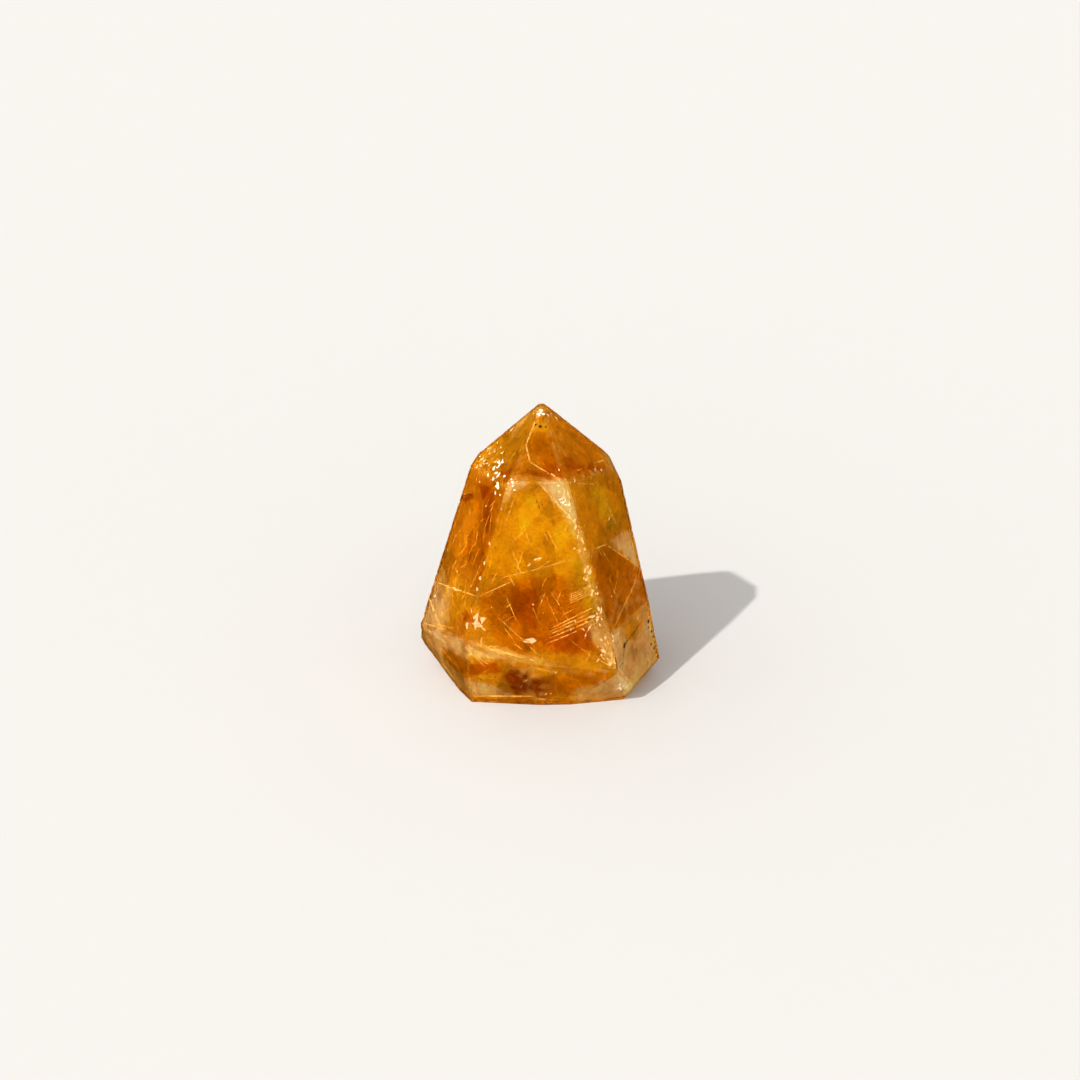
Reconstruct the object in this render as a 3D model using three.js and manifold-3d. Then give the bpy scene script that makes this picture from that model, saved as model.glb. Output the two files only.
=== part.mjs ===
// Citrine crystal point: one faceted quartz crystal with a six-sided tapering body, a six-sided crown
// drawn to a chipped tip, and a flat ground base with bevels round its foot.
// Millimetres, +Z up, front of the crystal towards -Y, standing on its base at z = 0.

import * as THREE from 'three';
import { mergeVertices } from 'three/addons/utils/BufferGeometryUtils.js';
import Module from 'manifold-3d';

const wasm = await Module();
wasm.setup();

// Driving dimensions. Reaches are measured straight out from the upright axis, in the facet's own turn.
const ROUGH_WIDTH = 60;       // side of the rough block that the facets are cut from
const ROUGH_HEIGHT = 60;      // its height, taller than the finished point
const CUTTER_SIZE = 160;      // side of the block that takes away what lies outside a facet
const GIRDLE_HEIGHT = 6;      // where the body is widest
const SHOULDER_HEIGHT = 40;   // where the body hands over to the crown
const TIP_HEIGHT = 52;        // where the crown facets would meet if the tip weren't chipped
const TIP_LEAN = 1;           // how far that tip leans to the right of the axis
const CITRINE_COLOUR = 0xd98207;
const CITRINE_ROUGHNESS = 0.12;

// The six sides of the prism, a sixth of a turn apart as quartz grows, pushed a little by the polishing.
// turn is the way a side faces (0 is the front, 90 the right), in degrees.
const BODY = {
  front: { turn: 5, girdle: 17, shoulder: 13 },
  right: { turn: 60, girdle: 21, shoulder: 11.5 },
  rightLower: { turn: 60, girdle: 20.5, shoulder: 13 },
  backRight: { turn: 125, girdle: 15, shoulder: 12 },
  back: { turn: 180, girdle: 12.5, shoulder: 5 },
  backLeft: { turn: -130, girdle: 15.5, shoulder: 9 },
  left: { turn: -70, girdle: 20, shoulder: 10 },
};

// A crown facet leaves its side at start and runs up to the tip.
const CROWN = {
  left: { turn: -80, start: 39, reach: 11 },
  front: { turn: 10, start: 44, reach: 12 },
  right: { turn: 70, start: 41, reach: 11 },
  backRight: { turn: 130, start: 41, reach: 10.5 },
  back: { turn: 180, start: 44, reach: 8.5 },
  backLeft: { turn: -125, start: 41, reach: 9 },
};

// A foot bevel leaves its side at start and draws in by inset at the base. One that only takes off a corner
// of its side stands proud of the side's middle.
const FOOT = {
  frontLeft: { side: 'front', turn: -5, start: 10, inset: 2.5, proud: 0.5 },
  front: { side: 'front', turn: 2, start: 9, inset: 2 },
  frontRight: { side: 'front', turn: 10, start: 8, inset: 3, proud: 1.5 },
  right: { side: 'right', turn: 65, start: 3.5, inset: 2.5 },
  left: { side: 'left', turn: -60, start: 11, inset: 2 },
  underLeft: { side: 'left', turn: -80, start: 4.5, inset: 5.5 },
  backLeft: { side: 'backLeft', turn: -130, start: 4.5, inset: 2.5 },
  back: { side: 'back', turn: 175, start: 8, inset: 2 },
};

// Corners rubbed flat: each passes through reach at height and tips over by tilt degrees.
const WORN = {
  tip: { turn: 20, tilt: 85, reach: 0, height: 51 },
  rightShoulder: { turn: 90, tilt: 30, reach: 12, height: 41 },
  frontRightEdge: { turn: 30, tilt: 13, reach: 13.5, height: 41 },
};

// A facet is a plane: an outward turn and tilt, in degrees, and its distance out from the middle of the base.
function facetThrough(turn, low, high) {
  const tilt = Math.atan2(low.reach - high.reach, high.height - low.height);
  return { turn, tilt, out: Math.cos(tilt) * low.reach + Math.sin(tilt) * low.height };
}

function reachAt({ girdle, shoulder }, height) {
  return girdle + (shoulder - girdle) * (height - GIRDLE_HEIGHT) / (SHOULDER_HEIGHT - GIRDLE_HEIGHT);
}

const bodyFacets = Object.values(BODY).map(({ turn, girdle, shoulder }) => facetThrough(
  turn, { reach: girdle, height: GIRDLE_HEIGHT }, { reach: shoulder, height: SHOULDER_HEIGHT }));
const crownFacets = Object.values(CROWN).map(({ turn, start, reach }) => facetThrough(
  turn, { reach, height: start }, { reach: TIP_LEAN * Math.sin(THREE.MathUtils.degToRad(turn)), height: TIP_HEIGHT }));
const footFacets = Object.values(FOOT).map(({ side, turn, start, inset, proud = 0 }) => {
  const reach = reachAt(BODY[side], start) + proud;
  return facetThrough(turn, { reach: reach - inset, height: 0 }, { reach, height: start });
});
const wornFacets = Object.values(WORN).map(({ turn, tilt, reach, height }) => {
  const angle = THREE.MathUtils.degToRad(tilt);
  return { turn, tilt: angle, out: Math.cos(angle) * reach + Math.sin(angle) * height };
});

function solidFrom(geometry) {
  const bare = geometry.clone();
  bare.deleteAttribute('normal');
  bare.deleteAttribute('uv');
  const merged = mergeVertices(bare);
  const mesh = new wasm.Mesh({
    numProp: 3,
    vertProperties: Float32Array.from(merged.attributes.position.array),
    triVerts: Uint32Array.from(merged.index.array),
  });
  return new wasm.Manifold(mesh);
}

function geometryFrom(solid) {
  const mesh = solid.getMesh();
  const geometry = new THREE.BufferGeometry();
  geometry.setAttribute('position', new THREE.BufferAttribute(Float32Array.from(mesh.vertProperties), 3));
  geometry.setIndex(new THREE.BufferAttribute(Uint32Array.from(mesh.triVerts), 1));
  return geometry;
}

function facetNormal({ turn, tilt }) {
  const turnAngle = THREE.MathUtils.degToRad(turn);
  const level = Math.cos(tilt);
  return new THREE.Vector3(Math.sin(turnAngle) * level, -Math.cos(turnAngle) * level, Math.sin(tilt));
}

// The waste outside a facet: a block whose inner face is the facet's plane.
function wasteOutside(facet) {
  const normal = facetNormal(facet);
  const block = new THREE.BoxGeometry(CUTTER_SIZE, CUTTER_SIZE, CUTTER_SIZE);
  block.translate(0, 0, CUTTER_SIZE / 2);
  block.applyQuaternion(new THREE.Quaternion().setFromUnitVectors(new THREE.Vector3(0, 0, 1), normal));
  const foot = normal.multiplyScalar(facet.out);
  block.translate(foot.x, foot.y, foot.z);
  return solidFrom(block);
}

function roughBlock() {
  const block = new THREE.BoxGeometry(ROUGH_WIDTH, ROUGH_WIDTH, ROUGH_HEIGHT);
  block.translate(0, 0, ROUGH_HEIGHT / 2);
  return solidFrom(block);
}

// The origin is under the middle of the crystal, on the plane of its base.
function standOnOrigin(geometry) {
  geometry.computeBoundingBox();
  const { min, max } = geometry.boundingBox;
  geometry.translate(-(min.x + max.x) / 2, -(min.y + max.y) / 2, -min.z);
  return geometry;
}

function citrinePoint() {
  const facets = [...bodyFacets, ...crownFacets, ...wornFacets, ...footFacets];
  const cut = facets.reduce((solid, facet) => solid.subtract(wasteOutside(facet)), roughBlock());
  const geometry = standOnOrigin(geometryFrom(cut));
  const material = new THREE.MeshStandardMaterial({
    color: CITRINE_COLOUR,
    roughness: CITRINE_ROUGHNESS,
    metalness: 0,
  });
  const mesh = new THREE.Mesh(geometry, material);
  mesh.name = 'citrine_point';
  return mesh;
}

const crystal = new THREE.Group();
crystal.add(citrinePoint());

export default crystal;
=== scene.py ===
import math
import random

import bmesh
import bpy
import numpy as np
from bpy.props import FloatProperty, PointerProperty
from mathutils import Matrix, Vector, noise
from mathutils.bvhtree import BVHTree
from mathutils.geometry import delaunay_2d_cdt


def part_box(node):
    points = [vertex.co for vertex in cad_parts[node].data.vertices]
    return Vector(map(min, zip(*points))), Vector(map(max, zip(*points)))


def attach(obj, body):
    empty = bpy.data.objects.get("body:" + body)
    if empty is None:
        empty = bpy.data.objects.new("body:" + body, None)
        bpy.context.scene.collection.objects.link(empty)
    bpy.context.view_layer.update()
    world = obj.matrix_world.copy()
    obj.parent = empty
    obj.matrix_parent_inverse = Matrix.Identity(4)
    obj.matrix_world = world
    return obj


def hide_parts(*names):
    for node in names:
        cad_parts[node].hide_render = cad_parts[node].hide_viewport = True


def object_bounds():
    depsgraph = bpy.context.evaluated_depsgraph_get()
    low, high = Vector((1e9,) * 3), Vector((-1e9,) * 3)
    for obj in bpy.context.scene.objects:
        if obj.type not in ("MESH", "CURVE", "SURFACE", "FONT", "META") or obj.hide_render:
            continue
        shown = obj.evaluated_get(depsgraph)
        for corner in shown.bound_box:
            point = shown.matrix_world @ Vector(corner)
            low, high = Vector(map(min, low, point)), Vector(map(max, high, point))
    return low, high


bl_info = {
    "name": "Citrine crystal point",
    "version": (1, 0, 0),
    "blender": (4, 5, 0),
    "location": "3D View > Sidebar > Citrine",
    "description": "Makes a polished citrine point with its veils, flakes, cracks and worn edges",
    "category": "Add Mesh",
}

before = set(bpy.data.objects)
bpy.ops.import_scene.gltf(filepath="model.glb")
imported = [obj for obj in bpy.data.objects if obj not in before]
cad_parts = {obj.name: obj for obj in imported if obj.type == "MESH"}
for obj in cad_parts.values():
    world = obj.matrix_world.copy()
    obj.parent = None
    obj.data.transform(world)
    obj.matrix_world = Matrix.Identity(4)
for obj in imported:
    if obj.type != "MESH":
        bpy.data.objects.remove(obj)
CAD_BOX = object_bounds()

MM = 0.001
NODE = "citrine_point"
BODY = "root"
SKIN = {}           # "tree" is what rays onto the worn skin are cast on, once the stone is made
SKIN_LIFT = 0.02    # how far marks stand proud of the worn skin, in mm


# ---------------------------------------------------------------- small helpers

def linear(hex_colour, alpha=1.0):
    """An sRGB hex colour as the linear values that shaders take."""
    def channel(value):
        value /= 255
        return value / 12.92 if value <= 0.04045 else ((value + 0.055) / 1.055) ** 2.4
    red, green, blue = (channel(int(hex_colour[i:i + 2], 16)) for i in (1, 3, 5))
    return (red, green, blue, alpha)


def add_node(tree, kind, settings=None, **links):
    """Adds a node. settings are its properties; links are its inputs by name, or by place as i0, i1."""
    node = tree.nodes.new(kind)
    for name, value in (settings or {}).items():
        setattr(node, name, value)
    for name, value in links.items():
        by_place = name[0] == "i" and name[1:].isdigit()
        socket = node.inputs[int(name[1:]) if by_place else name.replace("_", " ")]
        if isinstance(value, bpy.types.NodeSocket):
            tree.links.new(value, socket)
        else:
            socket.default_value = value
    return node


def new_material(name):
    material = bpy.data.materials.new(name)
    material.use_nodes = True
    material.node_tree.nodes.clear()
    return material, material.node_tree


def mesh_from(work, name):
    mesh = bpy.data.meshes.new(name)
    work.to_mesh(mesh)
    work.free()
    return mesh


def link_piece(name, made, material):
    """Puts a finished mesh, or work still in hand, in the scene as a piece that rides with the stone."""
    mesh = made if isinstance(made, bpy.types.Mesh) else mesh_from(made, name)
    mesh.name = name
    piece = bpy.data.objects.new(name, mesh)
    bpy.context.scene.collection.objects.link(piece)
    mesh.materials.append(material)
    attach(piece, BODY)
    return piece


# ---------------------------------------------------------------- the stone's own faces

def merged_copy_of_cad():
    """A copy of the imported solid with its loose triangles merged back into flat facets."""
    work = bmesh.new()
    work.from_mesh(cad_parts[NODE].data)
    bmesh.ops.remove_doubles(work, verts=work.verts, dist=0.01 * MM)
    bmesh.ops.dissolve_limit(work, angle_limit=math.radians(0.3), verts=work.verts, edges=work.edges)
    return work


class Facet:
    """One flat face of the stone, with places on it told as shares across and up it."""

    def __init__(self, face):
        self.normal = face.normal.copy()
        self.centre = face.calc_center_median()
        self.area = face.calc_area()
        flat_way = Vector((0, 0, 1)).cross(self.normal)
        self.side = flat_way.normalized() if flat_way.length > 0.01 else Vector((1, 0, 0))
        self.rise = self.normal.cross(self.side)
        self.outline = [self.flat(vertex.co) for vertex in face.verts]

    def flat(self, point):
        return Vector(((point - self.centre).dot(self.side), (point - self.centre).dot(self.rise)))

    def place(self, flat, depth=0.0):
        return self.centre + self.side * flat.x + self.rise * flat.y - self.normal * depth

    def spot(self, across, up):
        """0, 0 is the lower left and 1, 1 the upper right, as seen from outside. Across is a share of the
        facet's width at that height."""
        low, high = min(p.y for p in self.outline), max(p.y for p in self.outline)
        level = low + (high - low) * min(max(up, 0.002), 0.998)
        crossings = []
        for start, end in zip(self.outline, self.outline[1:] + self.outline[:1]):
            if (start.y > level) != (end.y > level):
                crossings.append(start.x + (level - start.y) / (end.y - start.y) * (end.x - start.x))
        return Vector((min(crossings) + (max(crossings) - min(crossings)) * across, level))


def facing(turn, rise):
    """The outward direction with this turn round the stone and this rise, in degrees."""
    turn, rise = math.radians(turn), math.radians(rise)
    return Vector((math.sin(turn) * math.cos(rise), -math.cos(turn) * math.cos(rise), math.sin(rise)))


def read_facets():
    """Every facet, largest first."""
    work = merged_copy_of_cad()
    facets = [Facet(face) for face in work.faces]
    work.free()
    return sorted(facets, key=lambda facet: -facet.area)


FACETS = read_facets()

# Roughly how each named facet faces: its turn (0 front, 90 right) and its rise, in degrees.
WAYS = {
    "front": (5, 5), "left": (-70, 15), "right": (60, 15), "right_lower": (60, 10), "back": (180, 10),
    "back_left": (-130, 10), "back_right": (125, 5), "crown_left": (-80, 40), "crown_front": (10, 55),
    "crown_right": (70, 45), "crown_back": (180, 50), "crown_back_left": (-125, 40),
    "crown_back_right": (130, 45), "tip": (20, 85), "shoulder": (90, 30), "strip": (30, 15),
    "foot_front_left": (-5, -14), "foot_front": (2, -12), "foot_corner": (10, -20),
    "foot_right": (65, -25), "foot_left": (-60, -10),
}
NAMED = {
    name: min(FACETS, key=lambda facet: facet.normal.angle(facing(*way))) for name, way in WAYS.items()}


def on_facet(name, across, up):
    """The point of a named facet at these shares across and up it."""
    facet = NAMED[name]
    return facet.place(facet.spot(across, up))


def inward(point):
    """How far a point lies inside the stone: the distance to the nearest facet plane."""
    return min((facet.centre - point).dot(facet.normal) for facet in FACETS)


def meeting(*names):
    """The corner where three named facets meet."""
    planes = [NAMED[name] for name in names]
    return Matrix([facet.normal for facet in planes]).inverted() @ Vector(
        [facet.centre.dot(facet.normal) for facet in planes])


def cut_to_stone(work, margin):
    """Cuts away whatever comes nearer to the skin than margin mm."""
    for facet in FACETS:
        bmesh.ops.bisect_plane(
            work, geom=work.verts[:] + work.edges[:] + work.faces[:], dist=1e-7,
            plane_co=facet.centre - facet.normal * margin * MM, plane_no=facet.normal, clear_outer=True)


def box_of(outline):
    """The lowest and the highest corner of the box round a flat outline."""
    return (Vector((min(p.x for p in outline), min(p.y for p in outline))),
            Vector((max(p.x for p in outline), max(p.y for p in outline))))


def distance_to_outline(point, outline):
    best = math.inf
    for start, end in zip(outline, outline[1:] + outline[:1]):
        along = end - start
        share = max(0.0, min(1.0, (point - start).dot(along) / max(along.length_squared, 1e-12)))
        best = min(best, (point - start - along * share).length)
    return best


def inside_outline(point, outline):
    inside = False
    for start, end in zip(outline, outline[1:] + outline[:1]):
        if (start.y > point.y) != (end.y > point.y):
            if point.x < start.x + (point.y - start.y) / (end.y - start.y) * (end.x - start.x):
                inside = not inside
    return inside


def on_skin(place, normal):
    """The point of the worn stone under a place on a flat facet, raised a little."""
    hit, _, _, _ = SKIN["tree"].ray_cast(place + normal * MM, -normal)
    return (hit or place) + normal * SKIN_LIFT * MM


def add_line(work, name, path, width, ragged=0.4, seed=1, step=0.35):
    """A thin line over shares of a facet, narrowing at both ends. width and step are in mm."""
    facet = NAMED[name]
    rng = random.Random(seed)
    corners = [facet.spot(*point) for point in path]
    points = []
    for start, end in zip(corners, corners[1:]):
        pieces = max(1, round((end - start).length / (step * MM)))
        points += [start.lerp(end, index / pieces) for index in range(pieces)]
    points.append(corners[-1])
    before = None
    last = len(points) - 1
    for index, spot in enumerate(points):
        along = (points[min(index + 1, last)] - points[max(index - 1, 0)]).normalized()
        side = Vector((-along.y, along.x))
        taper = min(1.0, 0.25 + 3 * min(index, last - index) / last)
        half = 0.5 * width * MM * taper * (1 + rng.uniform(-ragged, ragged))
        shift = side * rng.uniform(-0.3, 0.3) * ragged * width * MM
        row = [work.verts.new(on_skin(facet.place(spot + shift + side * reach), facet.normal))
               for reach in (-half, half)]
        if before:
            work.faces.new((before[0], row[0], row[1], before[1]))
        before = row


def broken_outline(rng, wobble, least, most):
    """The straight-edged outline of a broken scrap 1 across, with 4 to 6 corners round its middle."""
    sides = rng.randint(4, 6)
    outline = []
    for side in range(sides):
        angle = math.tau * (side + rng.uniform(-wobble, wobble)) / sides
        reach = rng.uniform(least, most)
        outline.append(Vector((math.cos(angle) * reach, math.sin(angle) * reach)))
    return outline


def add_chip(work, name, across, up, size, stretch=1.0, lean=0.0, seed=1, shift=Vector((0, 0))):
    """One small broken-edged scrap on a facet, size mm across."""
    facet = NAMED[name]
    middle = facet.spot(across, up) + shift
    turn = Matrix.Rotation(math.radians(lean), 2)
    ring = []
    for corner in broken_outline(random.Random(seed), 0.3, 0.3, 0.6):
        spot = Vector((corner.x * stretch, corner.y / stretch)) * size * MM
        spot.rotate(turn)
        ring.append(work.verts.new(on_skin(facet.place(middle + spot), facet.normal)))
    work.faces.new(ring)


# ---------------------------------------------------------------- sizes and colours

class CrystalSettings(bpy.types.PropertyGroup):
    edge_radius: FloatProperty(
        name="Edge radius", description="Rounding that polishing left on the facet edges",
        default=0.06 * MM, unit="LENGTH")
    density: FloatProperty(
        name="Absorption density", description="How strongly the stone takes up light, per metre",
        default=50.0)
    flake_density: FloatProperty(
        name="Flake density", description="Bright flakes for each square metre where they are thickest",
        default=1.6e6)
    flake_size: FloatProperty(
        name="Flake size", description="Across the largest of the scattered flakes",
        default=0.55 * MM, unit="LENGTH")


class StageSettings(bpy.types.PropertyGroup):
    floor_size: FloatProperty(
        name="Floor size", description="Side of the pale floor", default=8.0, unit="LENGTH")
    camera_rise: FloatProperty(
        name="Camera rise", description="How far the camera looks down on the stone",
        default=math.radians(30), subtype="ANGLE")
    camera_distance: FloatProperty(
        name="Camera distance", description="From the camera to the point it looks at",
        default=0.65, unit="LENGTH")
    stone_share: FloatProperty(
        name="Stone share", description="How much of the view's width the stone fills", default=0.225)
    aim_share: FloatProperty(
        name="Aim share", description="How far up the stone the camera looks", default=0.51)


# ---------------------------------------------------------------- materials

# The tones of this citrine, from pale yellow to deep iron-rich orange and to bruised white: partly the
# stone's own colour zoning, partly painted light and shade, brighter where light falls into the stone and
# darker where it does not.
TONES = {
    "glow": "#f69006", "honey": "#d67e04", "amber": "#be6c04", "orange": "#be6205", "burnt": "#b05000",
    "rust": "#983400", "garnet": "#7a2000", "moss": "#b87c06", "milk": "#e69a40", "tan": "#ba7c34",
    "sand": "#e8a058", "cream": "#fcb474",
}
# Each facet's tone: partly colour zoning, partly painted shade and light, brighter or darker as the light
# falls on that facet.
FACET_TONES_AND_SHADE = {
    "front": "amber", "left": "orange", "right": "amber", "right_lower": "sand", "crown_left": "amber",
    "crown_front": "orange", "crown_right": "orange", "tip": "milk", "shoulder": "cream", "strip": "sand",
    "foot_front_left": "amber", "foot_front": "burnt", "foot_corner": "sand", "foot_right": "tan",
    "foot_left": "tan",
}
REST_TONE = "orange"
TONE_LIGHT = {name: np.array(linear(colour)[:3]) for name, colour in TONES.items()}
# How much of a white light comes back out of the stone, in red, green and blue.
LIGHT_BACK = (0.78, 0.61, 0.5)

# Areas of another tone, partly colour zoning and partly painted light and shade, such as the painted glow
# high on the front: (facet, tone, width of the soft rim in mm, outline in shares of the facet).
TONE_AND_LIGHT_AREAS = (
    ("front", "honey", 3, [(0, 1), (1, 1), (1, 0.5), (0, 0.5)]),
    # Painted light: the glow where light falls brightest into the upper front.
    ("front", "glow", 4, [(0.2, 0.9), (0.8, 0.95), (0.9, 0.7), (0.5, 0.6), (0.2, 0.7)]),
    ("front", "burnt", 1, [(0, 0.42), (0.3, 0.5), (0.7, 0.52), (0.9, 0.1), (0.1, 0.15)]),
    ("front", "rust", 1.5, [(0.3, 0.45), (0.5, 0.45), (0.5, 0.25), (0.3, 0.3)]),
    ("front", "rust", 1, [(0.5, 0.2), (0.9, 0.25), (0.8, 0.12), (0.5, 0.12)]),
    ("front", "milk", 0.6, [(0, 0.2), (0.15, 0.15), (0.2, 0.1), (0.1, 0.05), (0, 0.1)]),
    ("front", "honey", 1, [(0.2, 0.1), (0.9, 0.05), (0.9, 0), (0.2, 0)]),
    ("front", "moss", 2, [(0.8, 0.6), (1, 0.6), (1, 0.2), (0.9, 0.3)]),
    ("front", "sand", 1, [(0.85, 0.25), (1, 0.35), (1, 0), (0.95, 0)]),
    ("front", "milk", 0.4, [(0.9, 0.8), (1, 0.9), (1, 0), (0.95, 0.1)]),
    ("front", "amber", 0.5, [(0.3, 0.98), (0.6, 0.98), (0.9, 0.8), (0.7, 0.75), (0.5, 0.9)]),
    ("front", "cream", 0.4, [(0, 0.99), (0.4, 0.99), (0.4, 0.97), (0.15, 0.95), (0.1, 0.9), (0, 0.85)]),
    ("front", "cream", 0.3, [(0.55, 0.98), (1, 0.98), (1, 0.75), (0.9, 0.8)]),
    ("left", "burnt", 2, [(0.2, 0.85), (1, 1), (1, 0.7), (0.5, 0.7)]),
    ("left", "rust", 1, [(0.4, 0.9), (0.7, 0.9), (0.9, 0.7), (0.6, 0.75)]),
    ("left", "honey", 0.5, [(0, 0.7), (0.5, 0.85), (1, 0.97), (1, 1), (0, 1)]),
    ("left", "garnet", 0.4, [(0.35, 0.85), (0.6, 0.9), (0.5, 0.8)]),
    ("left", "garnet", 0.5, [(0, 0.72), (0.3, 0.8), (0.3, 0.77), (0, 0.68)]),
    ("left", "burnt", 2, [(0.5, 0.7), (1, 0.7), (1, 0.5), (0.4, 0.5)]),
    ("left", "honey", 2, [(0.4, 0.4), (1, 0.4), (1, 0.1), (0.5, 0.1)]),
    ("left", "milk", 0.6, [(0, 0.35), (0.4, 0.3), (0.6, 0.18), (1, 0.1), (0, 0)]),
    ("left", "sand", 1, [(0, 0.28), (0.4, 0.22), (0.9, 0.1), (1, 0.05), (0, 0)]),
    ("left", "cream", 0.8, [(0, 0.22), (0.3, 0.18), (0.6, 0.08), (0.4, 0), (0, 0)]),
    ("foot_left", "sand", 0.8, [(0, 1), (0.9, 1), (0.8, 0.55), (0.3, 0.35), (0, 0.35)]),
    ("foot_left", "cream", 0.6, [(0, 0.95), (0.7, 0.98), (0.6, 0.7), (0.2, 0.5), (0, 0.5)]),
    ("foot_left", "burnt", 1, [(0.4, 0.5), (1, 0.7), (1, 0.3), (0.5, 0.3)]),
    ("crown_left", "honey", 1.5, [(0, 0), (0.5, 0), (0.6, 0.4), (0, 0.5)]),
    ("crown_left", "rust", 1, [(0.75, 0.3), (1, 0.35), (1, 0.65), (0.8, 0.45)]),
    ("crown_left", "milk", 1, [(0, 0.6), (0.3, 0.6), (0.4, 1), (0, 1)]),
    ("crown_front", "burnt", 0.5, [(0.1, 0.7), (0.1, 0.5), (0.5, 0), (1, 0), (1, 0.7)]),
    ("crown_front", "rust", 1.5, [(0.5, 0.1), (1, 0), (1, 0.25), (0.6, 0.3)]),
    ("crown_front", "rust", 0.7, [(0.1, 0), (0.5, 0), (0.3, 0.2), (0.1, 0.15)]),
    ("crown_front", "glow", 0.5, [(0.1, 0.75), (0.9, 0.75), (0.9, 0.9), (0.1, 0.9)]),
    ("crown_right", "rust", 2, [(0, 0), (0.4, 0.1), (0.2, 0.5), (0, 0.4)]),
    ("crown_right", "honey", 1.5, [(0.6, 0), (1, 0), (1, 0.5)]),
    ("right", "honey", 2, [(0.4, 1), (1, 1), (1, 0.5), (0.6, 0.6)]),
    ("right", "moss", 1.5, [(0.5, 0.9), (0.7, 0.8), (0.7, 0.5), (0.5, 0.6)]),
    ("right", "burnt", 1, [(0, 0.5), (0.4, 0.5), (1, 0.2), (1, 0), (0, 0)]),
    ("right", "cream", 0.5, [(0.5, 0.5), (1, 0.45), (1, 0.2)]),
    ("right_lower", "honey", 0.6, [(0.25, 0.99), (0.75, 0.99), (0.7, 0.7), (0.35, 0.65)]),
    ("right_lower", "cream", 0.8, [(0, 1), (0.2, 1), (0.25, 0.5), (0.1, 0.3), (0, 0.4)]),
    ("right_lower", "cream", 1, [(0.5, 0.6), (1, 0.7), (1, 0.3), (0.6, 0.2)]),
    ("foot_corner", "cream", 0.6, [(0.4, 0.9), (0.9, 0.8), (1, 0.4), (0.6, 0.3)]),
    ("foot_front_left", "sand", 0.8, [(0, 0.35), (0.3, 0.3), (0.7, 0.15), (0.6, 0.1), (0, 0.12)]),
    ("foot_front_left", "rust", 0.6, [(0, 0.65), (0.5, 0.7), (0.6, 0.5), (0, 0.45)]),
    ("foot_front_left", "cream", 0.6, [(0, 0.95), (0.4, 0.9), (0.9, 0.75), (0.5, 0.75), (0, 0.8)]),
    ("foot_front_left", "garnet", 0.6, [(0.55, 0.45), (0.7, 0.6), (1, 0.6), (1, 0.2), (0.7, 0.15)]),
    ("foot_front", "garnet", 0.8, [(0, 0.65), (0.1, 0.6), (0.15, 0.35), (0, 0.25)]),
    ("foot_front", "honey", 1, [(0, 1), (1, 1), (1, 0.8), (0, 0.7)]),
    ("foot_front", "tan", 1, [(0.7, 0.4), (1, 0.5), (1, 0), (0.7, 0)]),
    ("foot_front", "honey", 0.6, [(0.3, 0.2), (1, 0.25), (1, 0), (0.3, 0)]),
)


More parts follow.
